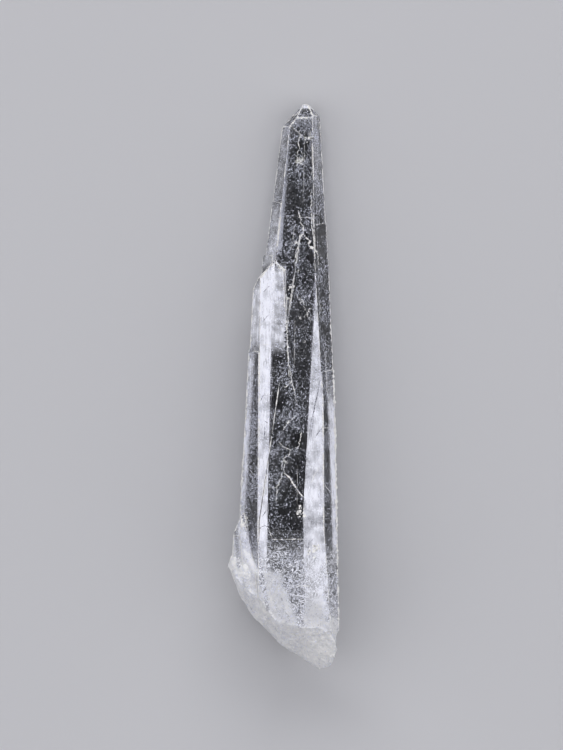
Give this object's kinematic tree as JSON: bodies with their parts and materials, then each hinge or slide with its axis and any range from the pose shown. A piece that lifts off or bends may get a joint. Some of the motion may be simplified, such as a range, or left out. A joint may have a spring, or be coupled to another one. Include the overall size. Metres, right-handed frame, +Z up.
{
  "type": "laser quartz wand",
  "caption": "Long tapering clear quartz crystal with a faceted point, two shoulders and a broken milky root, lying on its back face.",
  "frame": {"origin": "under the middle of the wand's bounding box, on the surface that it lies on", "axes": "+Y along the crystal's c-axis towards the point, +Z up out of the front prism face, +X to the right seen from above with the point away"},
  "size_m": [0.0236, 0.1202, 0.018],
  "materials": {
    "quartz": "clear natural quartz, IOR 1.544, glassy growth faces with fine pits, inner cracks and veils, turning milky and rough towards the broken root"
  },
  "bodies": {
    "root": {"quartz_wand": "quartz"}
  },
  "joints": []
}
